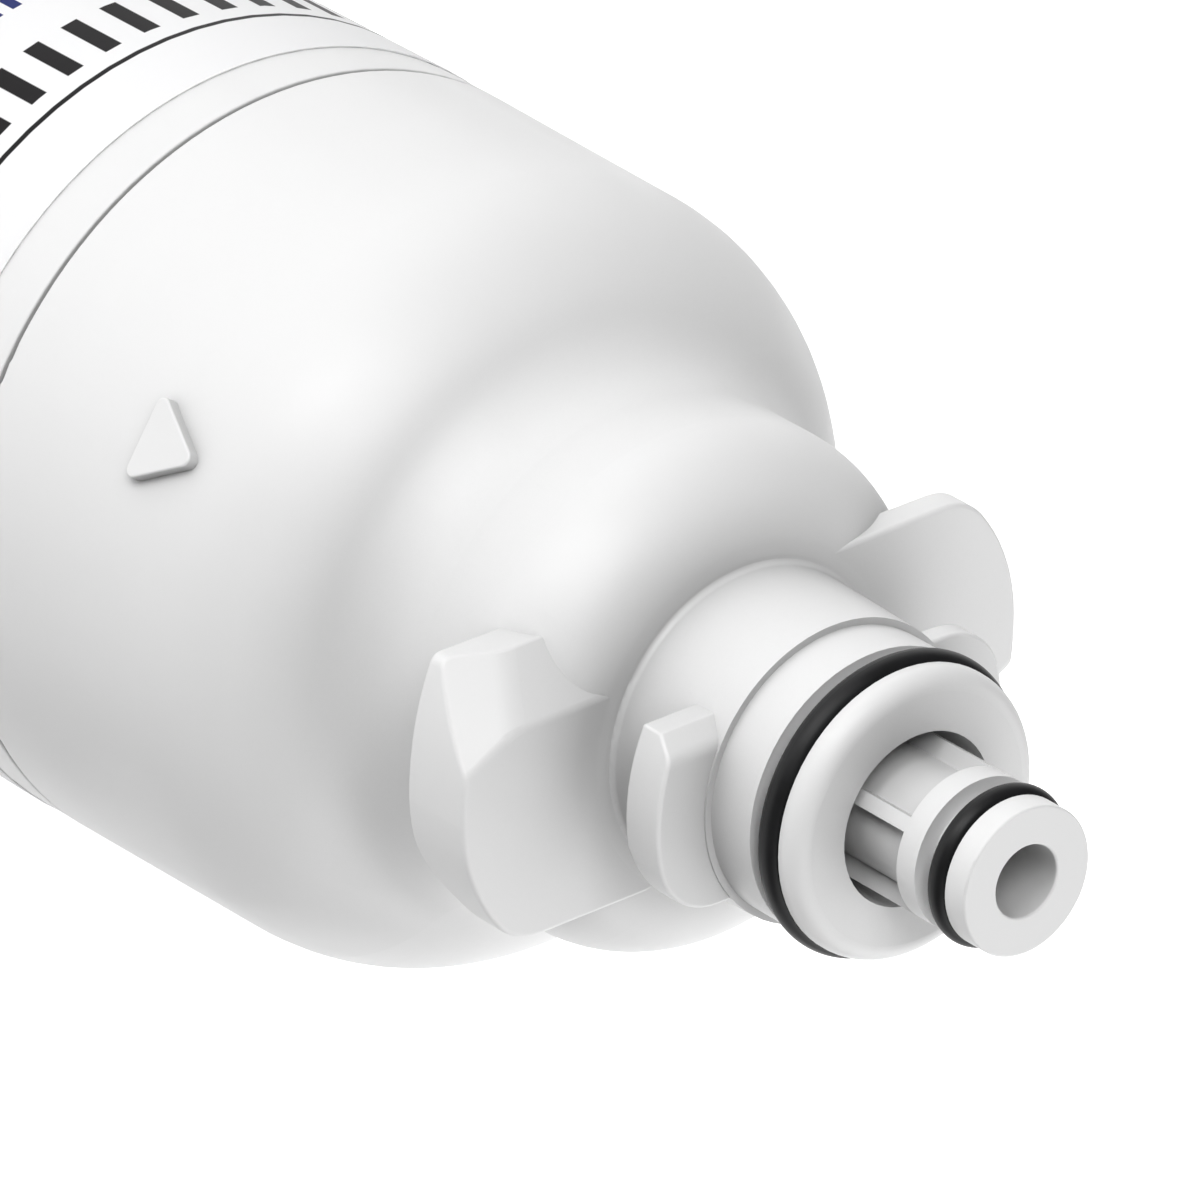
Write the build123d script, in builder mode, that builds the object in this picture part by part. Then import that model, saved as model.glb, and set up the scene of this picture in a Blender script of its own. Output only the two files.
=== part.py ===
from build123d import *

import os
from math import acos, atan, atan2, cos, degrees, radians, sin, sqrt, tan

os.makedirs("parts", exist_ok=True)

# Fridge water filter cartridge, standing on its closed end, +Z along its axis towards the spigot.
# The origin is the middle of the closed end. The arrow mark faces -Y. All lengths are millimetres
# and all angles are degrees.

# Canister
seam_height = 153.2
seam_radius = 35.45
canister_draft = 0.4
canister_wall = 2.4
canister_floor = 3.0
canister_edge_round = 5.0
canister_inner_round = 2.5
seam_edge_round = 0.2

# Welded joint between canister and head
seam_gap = 0.4
tongue_height = 5.0
tongue_thickness = 1.2
tongue_clearance = 0.05

# Head, outside shape from the seam up
head_draft = 0.87
head_side_length = 24.3
shoulder_round = 16.4
dome_radius = 23.25
dome_round = 8.75
dome_rise = 60.1
crease_round = 9.0
neck_root_radius = 13.75
neck_top_radius = 13.4
neck_root_blend = 0.5
neck_length = 11.45
land_radius = 12.8
rear_land_length = 4.9
lip_length = 2.1
lip_round = 1.7

# Head, inside shape
head_wall = 3.0
nose_bore_radius = 7.66
nose_bore_length = 9.0
neck_cavity_radius = 10.4
neck_cavity_chamfer = 2.7

# Sealing ring on the nose
nose_ring_section = 2.4
nose_groove_width = 3.6
nose_groove_depth = 1.8
ring_clearance = 0.02
ring_front_gap = 0.15

# Large bayonet lugs, with X out along the lug and Y across it
lug_direction = -56.0
large_lug_reach = 29.2
large_lug_half_width = 12.4
large_lug_nose_round = 16.85
large_lug_corner_round = 5.4
large_lug_lead_round = 1.2
large_lug_thickness = 7.35
large_lug_setback = 0.05
ramp_tilt = 35.2
ramp_start = 7.1
facet_tilt = 45.0
facet_turn = -62.0
facet_start_across = 4.38
heel_tilt = 32.0
heel_start = 5.0
heel_blend = 6.0
ridge_blend = 6.0
lead_edge_round = 1.2
lug_edge_round = 0.45

# Small guide lugs on the neck
small_lug_reach = 18.15
small_lug_half_width = 8.2
small_lug_corner_round = 6.0
small_lug_thickness = 4.3
small_lug_setback = 0.2
small_ramp_tilt = 50.0
small_ramp_start = 6.6
small_ramp_blend = 1.5
small_heel_tilt = 22.0
small_heel_start = 2.4
small_lug_edge_round = 0.35

# Arrow mark on the side of the head
mark_base_height = 19.05
mark_length = 7.1
mark_half_base = 4.2
mark_corner_round = 0.8
mark_projection = 1.07
mark_root_depth = 1.4
mark_edge_round = 0.2

# Outlet spigot
outlet_bore_radius = 3.18
spigot_projection = 13.65
front_land_length = 2.4
front_land_radius = 6.55
spigot_ring_section = 2.0
spigot_groove_width = 3.55
spigot_groove_depth = 1.5
collar_length = 2.25
collar_radius = 6.75
shaft_radius = 5.2
rib_width = 1.3
rib_count = 4
tip_edge_round = 0.2
flange_radius = 13.2
flange_thickness = 2.5
flow_hole_radius = 1.1
flow_hole_circle = 9.25
flow_hole_count = 12
socket_radius = 6.4
socket_wall = 1.6
socket_length = 10.0
socket_depth = 9.5

# Wrap label
label_thickness = 0.12
label_clearance = 0.02
label_top_margin = 5.5
label_bottom_margin = 12.0

# Filter pack
pad_thickness = 6.0
pad_radius = 22.0
cap_plate = 2.4
glue_thickness = 0.6
pack_clearance = 1.84
pack_top_margin = 2.5
block_bore_radius = 11.0
sleeve_thickness = 1.0
core_wall = 1.2
core_clearance = 0.1
core_hole_radius = 1.8
core_hole_rows = 12
core_holes_around = 3
wrap_thickness = 1.0
netting_thickness = 0.6
netting_rows = 10
netting_columns = 12
netting_bar = 2.4
netting_hoop = 2.6
skirt_clearance = 0.1
skirt_wall = 1.2
skirt_height = 6.0
fin_count = 4
fin_thickness = 2.0
fin_clearance = 0.3
nipple_clearance = 0.1
nipple_bore_radius = 3.4
nipple_base_radius = 9.0
nipple_base_height = 5.0
nipple_taper_height = 6.0
nipple_end_gap = 0.5
nipple_ring_section = 1.45
nipple_groove_width = 2.2
nipple_ring_below_end = 4.8

# Heights that follow from the stack of lengths above
head_side_top = seam_height + head_side_length
dome_top = seam_height + dome_rise
neck_top = dome_top + neck_length
groove_bottom = neck_top + rear_land_length
groove_top = groove_bottom + nose_groove_width
nose_top = groove_top + lip_length
overall_height = nose_top + spigot_projection
front_land_bottom = overall_height - front_land_length
collar_top = front_land_bottom - spigot_groove_width
collar_bottom = collar_top - collar_length
flange_top = dome_top - head_wall
flange_bottom = flange_top - flange_thickness
socket_bottom = flange_bottom - socket_length
socket_end = socket_bottom + socket_depth
tongue_top = seam_height + tongue_height
lower_plate_bottom = canister_floor + pad_thickness
lower_plate_top = lower_plate_bottom + cap_plate
block_bottom = lower_plate_top + glue_thickness
upper_plate_top = head_side_top - pack_top_margin
upper_plate_bottom = upper_plate_top - cap_plate
block_top = upper_plate_bottom - glue_thickness
block_length = block_top - block_bottom
nipple_top = socket_end - nipple_end_gap

# Radii that follow from the seam radius and the drafts
canister_slope = tan(radians(canister_draft))
base_radius = seam_radius - seam_height * canister_slope
head_side_radius = seam_radius - head_side_length * tan(radians(head_draft))
cavity_radius = seam_radius - canister_wall
tongue_radius = cavity_radius + tongue_thickness
nose_groove_radius = land_radius - nose_groove_depth
spigot_groove_radius = front_land_radius - spigot_groove_depth
sleeve_radius = block_bore_radius - core_clearance
core_radius = sleeve_radius - sleeve_thickness - core_clearance
nipple_radius = socket_radius - nipple_clearance
nipple_groove_radius = socket_radius - nipple_ring_section - 2 * ring_clearance


def canister_radius(height):
    """Outer radius of the tapered canister at a height."""
    return base_radius + height * canister_slope


# The filter pack fills the canister's bore, measured at the lower end plate
bore_at_pack = canister_radius(lower_plate_bottom) - canister_wall
skirt_radius = bore_at_pack - pack_clearance - skirt_wall
netting_radius = skirt_radius - skirt_clearance
wrap_radius = netting_radius - netting_thickness
block_radius = wrap_radius - wrap_thickness


def head_section(inset):
    """Half section of the head, from the seam to the dome's top, drawn smaller by inset."""
    side_round = shoulder_round - inset
    shoulder_x = head_side_radius - shoulder_round * cos(radians(head_draft))
    shoulder_z = head_side_top - shoulder_round * sin(radians(head_draft))
    hollow_round = crease_round + inset
    hollow_x = dome_radius + crease_round
    lean = degrees(acos((hollow_x - shoulder_x) / (side_round + hollow_round)))
    hollow_z = shoulder_z + (side_round + hollow_round) * sin(radians(lean))
    corner_x = dome_radius - dome_round
    corner_z = dome_top - dome_round
    with BuildSketch(Plane.XZ) as section:
        with BuildLine():
            shoulder = CenterArc((shoulder_x, shoulder_z), side_round, head_draft, lean - head_draft)
            hollow = CenterArc((hollow_x, hollow_z), hollow_round, 180 + lean, -lean)
            corner = CenterArc((corner_x, corner_z), dome_round - inset, 0, 90)
            Line(hollow @ 1, corner @ 0)
            Polyline(corner @ 1, (0, dome_top - inset), (0, seam_height))
            Polyline((0, seam_height), (seam_radius - inset, seam_height), shoulder @ 0)
        make_face()
    return section.sketch


# Large bayonet lug, cut from a flat block by two lead-in planes in front and one behind
large_lug_front = dome_top - large_lug_setback
large_lug_back = large_lug_front - large_lug_thickness
facet_start_out = sqrt(large_lug_reach**2 - facet_start_across**2)

with BuildPart() as large_lug:
    with BuildSketch(Plane.XY.offset(large_lug_back)) as lug_plan:
        with BuildLine() as lug_edge:
            near_out = sqrt(large_lug_reach**2 - large_lug_half_width**2)
            far_out = large_lug_reach - large_lug_nose_round
            far_out += sqrt(large_lug_nose_round**2 - large_lug_half_width**2)
            near_corner = (near_out, -large_lug_half_width)
            far_point = (far_out, large_lug_half_width)
            near_side = Line((nose_bore_radius, -large_lug_half_width), near_corner)
            about_axis = RadiusArc(near_corner, (large_lug_reach, 0), -large_lug_reach)
            rounded_in = RadiusArc(about_axis @ 1, far_point, -large_lug_nose_round)
            far_side = Line(rounded_in @ 1, (nose_bore_radius, large_lug_half_width))
            inner_side = Line(far_side @ 1, near_side @ 0)
        make_face()
        far_corner = lug_plan.vertices().group_by(Axis.Y)[-1].sort_by(Axis.X)[-1]
        fillet(far_corner, radius=large_lug_corner_round)
        lead_corner = lug_plan.vertices().group_by(Axis.Y)[0].sort_by(Axis.X)[-1]
        fillet(lead_corner, radius=large_lug_lead_round)
    extrude(amount=large_lug_thickness)
    ramp = Plane(
        origin=(0, -ramp_start, large_lug_front),
        z_dir=(0, -sin(radians(ramp_tilt)), cos(radians(ramp_tilt))),
    )
    split(bisect_by=ramp, keep=Keep.BOTTOM)
    facet = Plane(
        origin=(facet_start_out, -facet_start_across, large_lug_front),
        z_dir=(
            sin(radians(facet_tilt)) * cos(radians(facet_turn)),
            sin(radians(facet_tilt)) * sin(radians(facet_turn)),
            cos(radians(facet_tilt)),
        ),
    )
    split(bisect_by=facet, keep=Keep.BOTTOM)
    heel = Plane(
        origin=(0, heel_start, large_lug_back),
        z_dir=(0, sin(radians(heel_tilt)), -cos(radians(heel_tilt))),
    )
    split(bisect_by=heel, keep=Keep.BOTTOM)
    ramp_face = large_lug.faces().filter_by(ramp)[0]
    facet_face = large_lug.faces().filter_by(facet)[0]
    fillet(ramp_face.edges() & facet_face.edges(), radius=ridge_blend)
    heel_face = large_lug.faces().filter_by(heel)[0]
    back_face = large_lug.faces().sort_by(Axis.Z)[0]
    fillet(heel_face.edges() & back_face.edges(), radius=heel_blend)
    lead_edges = large_lug.faces().sort_by(Axis.Z)[-1].edges().sort_by(Axis.Y)[:3]
    fillet(lead_edges, radius=lead_edge_round)
    outer_edges = large_lug.edges().filter_by_position(Axis.X, 1.1 * nose_bore_radius, large_lug_reach)
    fillet(outer_edges, radius=lug_edge_round)

# Small guide lug on the neck
small_lug_front = neck_top - small_lug_setback
small_lug_back = small_lug_front - small_lug_thickness

with BuildPart() as small_lug:
    with BuildSketch(Plane.XY.offset(small_lug_back)) as small_plan:
        with BuildLine() as small_edge:
            small_out = sqrt(small_lug_reach**2 - small_lug_half_width**2)
            near_corner = (small_out, -small_lug_half_width)
            near_side = Line((nose_bore_radius, -small_lug_half_width), near_corner)
            about_axis = RadiusArc(near_corner, (small_out, small_lug_half_width), -small_lug_reach)
            far_side = Line(about_axis @ 1, (nose_bore_radius, small_lug_half_width))
            inner_side = Line(far_side @ 1, near_side @ 0)
        make_face()
        far_corner = small_plan.vertices().group_by(Axis.Y)[-1].sort_by(Axis.X)[-1]
        fillet(far_corner, radius=small_lug_corner_round)
    extrude(amount=small_lug_thickness)
    small_ramp = Plane(
        origin=(0, -small_ramp_start, small_lug_front),
        z_dir=(0, -sin(radians(small_ramp_tilt)), cos(radians(small_ramp_tilt))),
    )
    split(bisect_by=small_ramp, keep=Keep.BOTTOM)
    small_heel = Plane(
        origin=(0, small_heel_start, small_lug_back),
        z_dir=(0, sin(radians(small_heel_tilt)), -cos(radians(small_heel_tilt))),
    )
    split(bisect_by=small_heel, keep=Keep.BOTTOM)
    small_ramp_face = small_lug.faces().filter_by(small_ramp)[0]
    small_front_face = small_lug.faces().sort_by(Axis.Z)[-1]
    fillet(small_ramp_face.edges() & small_front_face.edges(), radius=small_ramp_blend)
    outer_edges = small_lug.edges().filter_by_position(Axis.X, 1.1 * nose_bore_radius, small_lug_reach)
    fillet(outer_edges, radius=small_lug_edge_round)

# Hollow round at the neck's foot, which touches the dome's round below and the tapered neck beside
neck_lean = atan((neck_root_radius - neck_top_radius) / neck_length)
blend_reach = dome_round + neck_root_blend
blend_x = neck_root_radius + neck_root_blend / cos(neck_lean)
blend_z = dome_top - dome_round + sqrt(blend_reach**2 - (blend_x - dome_radius + dome_round) ** 2)
blend_x -= (blend_z - dome_top) * tan(neck_lean)
blend_z = dome_top - dome_round + sqrt(blend_reach**2 - (blend_x - dome_radius + dome_round) ** 2)
foot_turn = degrees(atan2(blend_z - dome_top + dome_round, blend_x - dome_radius + dome_round))

# Head cap, a domed closure with a bayonet neck, hollow inside and open at the nose
with BuildPart() as head_cap:
    revolve(head_section(0), axis=Axis.Z)
    with BuildSketch(Plane.XZ):
        with BuildLine():
            lip_edge = RadiusArc(
                (land_radius - lip_round, nose_top), (land_radius, nose_top - lip_round), lip_round
            )
            neck_foot = CenterArc(
                (blend_x, blend_z),
                neck_root_blend,
                180 + degrees(neck_lean),
                foot_turn - degrees(neck_lean),
            )
            Polyline(
                lip_edge @ 1,
                (land_radius, groove_top),
                (nose_groove_radius, groove_top),
                (nose_groove_radius, groove_bottom),
                (land_radius, groove_bottom),
                (land_radius, neck_top),
                (neck_top_radius, neck_top),
                neck_foot @ 0,
            )
            Polyline(neck_foot @ 1, (0, dome_top - dome_round), (0, nose_top), lip_edge @ 0)
        make_face()
    revolve(axis=Axis.Z)
    with PolarLocations(0, 2, start_angle=lug_direction):
        add(large_lug.part)
        add(small_lug.part)
    with BuildSketch(Plane.XZ.offset(head_side_radius + mark_projection)):
        with BuildLine():
            mark_base = seam_height + mark_base_height
            Polyline(
                (-mark_half_base, mark_base),
                (mark_half_base, mark_base),
                (0, mark_base + mark_length),
                close=True,
            )
        mark = make_face()
        fillet(mark.vertices(), radius=mark_corner_round)
    extrude(amount=-mark_projection - mark_root_depth)
    fillet(head_cap.faces().sort_by(Axis.Y)[0].edges(), radius=mark_edge_round)
    revolve(head_section(head_wall), axis=Axis.Z, mode=Mode.SUBTRACT)
    with BuildSketch(Plane.XZ):
        with BuildLine():
            chamfer_top = nose_top - nose_bore_length
            Polyline(
                (0, nose_top),
                (nose_bore_radius, nose_top),
                (nose_bore_radius, chamfer_top),
                (neck_cavity_radius, chamfer_top - neck_cavity_chamfer),
                (neck_cavity_radius, flange_top),
                (0, flange_top),
                close=True,
            )
        make_face()
    revolve(axis=Axis.Z, mode=Mode.SUBTRACT)
    with BuildSketch(Plane.XY.offset(seam_height)):
        Circle(tongue_radius + tongue_clearance)
    extrude(amount=tongue_height, mode=Mode.SUBTRACT)
    with BuildSketch(Plane.XY.offset(seam_height)):
        Circle(seam_radius + mark_projection)
    extrude(amount=seam_gap, mode=Mode.SUBTRACT)
    rim_edges = head_cap.edges().filter_by(GeomType.CIRCLE).group_by(Axis.Z)[0]
    fillet(rim_edges.sort_by(SortBy.RADIUS)[-1], radius=seam_edge_round)
head_cap.part.label = "head_cap"
export_step(head_cap.part, "parts/head_cap.step")

# Canister, closed below, with the weld tongue above that the head fits over
with BuildPart() as canister:
    with BuildSketch(Plane.XZ):
        with BuildLine():
            Polyline(
                (0, 0),
                (base_radius, 0),
                (seam_radius, seam_height),
                (tongue_radius, seam_height),
                (tongue_radius, tongue_top),
                (cavity_radius, tongue_top),
                (cavity_radius, seam_height),
                (canister_radius(canister_floor) - canister_wall, canister_floor),
                (0, canister_floor),
                close=True,
            )
        make_face()
    revolve(axis=Axis.Z)
    fillet(canister.faces().sort_by(Axis.Z)[0].edges(), radius=canister_edge_round)
    inner_floor = canister.faces().filter_by(GeomType.PLANE).group_by(Axis.Z)[1]
    fillet(inner_floor.edges(), radius=canister_inner_round)
    shoulder_face = canister.faces().filter_by(GeomType.PLANE).group_by(Axis.Z)[-2]
    fillet(shoulder_face.edges().sort_by(SortBy.RADIUS)[-1], radius=seam_edge_round)
canister.part.label = "canister"
export_step(canister.part, "parts/canister.step")

# Outlet spigot, held inside the dome by its flange, with a ribbed shaft and a blind socket below
with BuildPart() as outlet_spigot:
    with BuildSketch(Plane.XZ):
        with BuildLine():
            Polyline(
                (outlet_bore_radius, overall_height),
                (front_land_radius, overall_height),
                (front_land_radius, front_land_bottom),
                (spigot_groove_radius, front_land_bottom),
                (spigot_groove_radius, collar_top),
                (collar_radius, collar_top),
                (collar_radius, collar_bottom),
                (shaft_radius, collar_bottom),
                (shaft_radius, flange_top),
                (flange_radius, flange_top),
                (flange_radius, flange_bottom),
                (socket_radius + socket_wall, flange_bottom),
                (socket_radius + socket_wall, socket_bottom),
                (socket_radius, socket_bottom),
                (socket_radius, socket_end),
                (outlet_bore_radius, socket_end),
                close=True,
            )
        make_face()
    revolve(axis=Axis.Z)
    with BuildSketch(Plane.XY.offset(flange_top)):
        with PolarLocations(0, rib_count, start_angle=-90):
            Rectangle(2 * collar_radius, rib_width, align=(Align.MIN, Align.CENTER))
        Circle(collar_radius, mode=Mode.INTERSECT)
        Circle((outlet_bore_radius + shaft_radius) / 2, mode=Mode.SUBTRACT)
    extrude(amount=collar_bottom - flange_top)
    with BuildSketch(Plane.XY.offset(flange_bottom)):
        with PolarLocations(flow_hole_circle, flow_hole_count):
            Circle(flow_hole_radius)
    extrude(amount=flange_thickness, mode=Mode.SUBTRACT)
    fillet(outlet_spigot.faces().sort_by(Axis.Z)[-1].edges(), radius=tip_edge_round)
outlet_spigot.part.label = "outlet_spigot"
export_step(outlet_spigot.part, "parts/outlet_spigot.step")

# Sealing ring in the nose groove, close to its front wall
with BuildPart() as nose_o_ring:
    with Locations((0, 0, groove_top - ring_front_gap - nose_ring_section / 2)):
        Torus(nose_groove_radius + ring_clearance + nose_ring_section / 2, nose_ring_section / 2)
nose_o_ring.part.label = "nose_o_ring"
export_step(nose_o_ring.part, "parts/nose_o_ring.step")

# Sealing ring in the spigot groove, close to its front wall
with BuildPart() as spigot_o_ring:
    with Locations((0, 0, front_land_bottom - ring_front_gap - spigot_ring_section / 2)):
        Torus(spigot_groove_radius + ring_clearance + spigot_ring_section / 2, spigot_ring_section / 2)
spigot_o_ring.part.label = "spigot_o_ring"
export_step(spigot_o_ring.part, "parts/spigot_o_ring.step")

# Label wrapped round the tapered canister
label_top = seam_height - label_top_margin
with BuildPart() as wrap_label:
    with BuildSketch(Plane.XZ):
        with BuildLine():
            label_low = canister_radius(label_bottom_margin) + label_clearance
            label_high = canister_radius(label_top) + label_clearance
            Polyline(
                (label_low, label_bottom_margin),
                (label_low + label_thickness, label_bottom_margin),
                (label_high + label_thickness, label_top),
                (label_high, label_top),
                close=True,
            )
        make_face()
    revolve(axis=Axis.Z)
wrap_label.part.label = "wrap_label"
export_step(wrap_label.part, "parts/wrap_label.step")

# Pressed carbon block
with BuildPart() as carbon_block:
    with BuildSketch(Plane.XY.offset(block_bottom)):
        Circle(block_radius)
        Circle(block_bore_radius, mode=Mode.SUBTRACT)
    extrude(amount=block_length)
carbon_block.part.label = "carbon_block"
export_step(carbon_block.part, "parts/carbon_block.step")

# Fine post filter sleeve inside the block
with BuildPart() as post_filter_sleeve:
    with BuildSketch(Plane.XY.offset(block_bottom)):
        Circle(sleeve_radius)
        Circle(sleeve_radius - sleeve_thickness, mode=Mode.SUBTRACT)
    extrude(amount=block_length)
post_filter_sleeve.part.label = "post_filter_sleeve"
export_step(post_filter_sleeve.part, "parts/post_filter_sleeve.step")

# Perforated core tube between the two end plates
with BuildPart() as core_tube:
    with BuildSketch(Plane.XY.offset(lower_plate_top)):
        Circle(core_radius)
        Circle(core_radius - core_wall, mode=Mode.SUBTRACT)
    extrude(amount=upper_plate_bottom - lower_plate_top)
    hole_pitch = block_length / core_hole_rows
    with Locations(*[(0, 0, block_bottom + (row + 0.5) * hole_pitch) for row in range(core_hole_rows)]):
        with PolarLocations(0, core_holes_around):
            Cylinder(
                core_hole_radius,
                2 * core_radius,
                rotation=(0, 90, 0),
                align=(Align.CENTER, Align.CENTER, Align.MIN),
                mode=Mode.SUBTRACT,
            )
core_tube.part.label = "core_tube"
export_step(core_tube.part, "parts/core_tube.step")

# Sediment wrap round the block
with BuildPart() as sediment_wrap:
    with BuildSketch(Plane.XY.offset(block_bottom)):
        Circle(wrap_radius)
        Circle(block_radius, mode=Mode.SUBTRACT)
    extrude(amount=block_length)
sediment_wrap.part.label = "sediment_wrap"
export_step(sediment_wrap.part, "parts/sediment_wrap.step")

# Coarse netting that holds the wrap, hoops and bars with windows between
row_pitch = (block_length - netting_hoop) / netting_rows
window_height = row_pitch - netting_hoop
window_width = 2 * netting_radius * sin(radians(180 / netting_columns)) - netting_bar
with BuildPart() as outer_netting:
    with BuildSketch(Plane.XY.offset(block_bottom)):
        Circle(netting_radius)
        Circle(wrap_radius, mode=Mode.SUBTRACT)
    extrude(amount=block_length)
    first_row = block_bottom + netting_hoop
    with Locations(*[(0, 0, first_row + row * row_pitch) for row in range(netting_rows)]):
        with PolarLocations(block_radius / 2, netting_columns):
            Box(
                netting_radius,
                window_width,
                window_height,
                align=(Align.MIN, Align.CENTER, Align.MIN),
                mode=Mode.SUBTRACT,
            )
outer_netting.part.label = "outer_netting"
export_step(outer_netting.part, "parts/outer_netting.step")

# Glue rings between the block's ends and the end plates
with BuildPart() as upper_glue_ring:
    with BuildSketch(Plane.XY.offset(block_top)):
        Circle(netting_radius)
        Circle(core_radius + core_clearance, mode=Mode.SUBTRACT)
    extrude(amount=glue_thickness)
upper_glue_ring.part.label = "upper_glue_ring"
export_step(upper_glue_ring.part, "parts/upper_glue_ring.step")

with BuildPart() as lower_glue_ring:
    with BuildSketch(Plane.XY.offset(lower_plate_top)):
        Circle(netting_radius)
        Circle(core_radius + core_clearance, mode=Mode.SUBTRACT)
    extrude(amount=glue_thickness)
lower_glue_ring.part.label = "lower_glue_ring"
export_step(lower_glue_ring.part, "parts/lower_glue_ring.step")

# Upper end cap, with a skirt round the pack, centring fins and the nipple that enters the socket
upper_skirt_end = upper_plate_bottom - skirt_height
nipple_ring_height = nipple_top - nipple_ring_below_end
with BuildPart() as upper_end_cap:
    with BuildSketch(Plane.XZ):
        with BuildLine():
            Polyline(
                (nipple_bore_radius, upper_plate_bottom),
                (skirt_radius, upper_plate_bottom),
                (skirt_radius, upper_skirt_end),
                (skirt_radius + skirt_wall, upper_skirt_end),
                (skirt_radius + skirt_wall, upper_plate_top),
                (nipple_base_radius, upper_plate_top),
                (nipple_base_radius, upper_plate_top + nipple_base_height),
                (nipple_radius, upper_plate_top + nipple_base_height + nipple_taper_height),
                (nipple_radius, nipple_ring_height - nipple_groove_width / 2),
                (nipple_groove_radius, nipple_ring_height - nipple_groove_width / 2),
                (nipple_groove_radius, nipple_ring_height + nipple_groove_width / 2),
                (nipple_radius, nipple_ring_height + nipple_groove_width / 2),
                (nipple_radius, nipple_top),
                (nipple_bore_radius, nipple_top),
                close=True,
            )
        make_face()
    revolve(axis=Axis.Z)
    with BuildSketch(Plane.XY.offset(upper_skirt_end)):
        with PolarLocations(0, fin_count, start_angle=45):
            upper_fin_reach = head_side_radius - head_wall - fin_clearance
            Rectangle(upper_fin_reach, fin_thickness, align=(Align.MIN, Align.CENTER))
        Circle(skirt_radius + skirt_wall / 2, mode=Mode.SUBTRACT)
    extrude(amount=skirt_height + cap_plate)
upper_end_cap.part.label = "upper_end_cap"
export_step(upper_end_cap.part, "parts/upper_end_cap.step")

# Lower end cap, closed, with the same skirt and fins
with BuildPart() as lower_end_cap:
    with BuildSketch(Plane.XY.offset(lower_plate_bottom)):
        Circle(skirt_radius + skirt_wall)
    extrude(amount=cap_plate)
    with BuildSketch(Plane.XY.offset(lower_plate_top)):
        Circle(skirt_radius + skirt_wall)
        Circle(skirt_radius, mode=Mode.SUBTRACT)
    extrude(amount=skirt_height)
    with BuildSketch(Plane.XY.offset(lower_plate_bottom)):
        with PolarLocations(0, fin_count, start_angle=45):
            Rectangle(bore_at_pack - fin_clearance, fin_thickness, align=(Align.MIN, Align.CENTER))
        Circle(skirt_radius + skirt_wall / 2, mode=Mode.SUBTRACT)
    extrude(amount=skirt_height + cap_plate)
lower_end_cap.part.label = "lower_end_cap"
export_step(lower_end_cap.part, "parts/lower_end_cap.step")

# Sealing ring squeezed between the nipple and the socket
with BuildPart() as nipple_o_ring:
    with Locations((0, 0, nipple_ring_height)):
        Torus(socket_radius - ring_clearance - nipple_ring_section / 2, nipple_ring_section / 2)
nipple_o_ring.part.label = "nipple_o_ring"
export_step(nipple_o_ring.part, "parts/nipple_o_ring.step")

# Foam pad under the filter pack
with BuildPart() as bottom_pad:
    with BuildSketch(Plane.XY.offset(canister_floor)):
        Circle(pad_radius)
    extrude(amount=pad_thickness)
bottom_pad.part.label = "bottom_pad"
export_step(bottom_pad.part, "parts/bottom_pad.step")
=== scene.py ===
import logging
import math
from dataclasses import dataclass
from enum import Enum

import bpy
from mathutils import Euler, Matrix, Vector


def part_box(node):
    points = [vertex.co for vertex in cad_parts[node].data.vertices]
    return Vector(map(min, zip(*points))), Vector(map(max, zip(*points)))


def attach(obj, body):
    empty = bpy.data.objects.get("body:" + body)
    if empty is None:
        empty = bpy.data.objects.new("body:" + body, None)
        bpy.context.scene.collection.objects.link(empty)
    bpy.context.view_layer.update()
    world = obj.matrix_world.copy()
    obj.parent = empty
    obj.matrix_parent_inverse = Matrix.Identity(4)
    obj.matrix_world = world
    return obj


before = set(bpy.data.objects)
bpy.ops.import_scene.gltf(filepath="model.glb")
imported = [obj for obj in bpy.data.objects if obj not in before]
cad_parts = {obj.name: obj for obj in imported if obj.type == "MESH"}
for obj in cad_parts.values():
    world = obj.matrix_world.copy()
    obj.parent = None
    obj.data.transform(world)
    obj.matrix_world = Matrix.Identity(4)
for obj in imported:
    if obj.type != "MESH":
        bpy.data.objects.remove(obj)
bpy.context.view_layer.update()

log = logging.getLogger("cartridge")
ROOT = "root"

Colour = tuple[float, float, float]
Point = tuple[float, float, float]
Span = tuple[float, float]


class Maths(Enum):
    """The sums that the shaders here use."""

    ADD = "ADD"
    SUBTRACT = "SUBTRACT"
    MULTIPLY = "MULTIPLY"
    DIVIDE = "DIVIDE"
    ABSOLUTE = "ABSOLUTE"
    FRACTION = "FRACT"
    TURN = "ARCTAN2"
    HIGHEST = "MAXIMUM"
    OVER = "GREATER_THAN"


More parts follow.
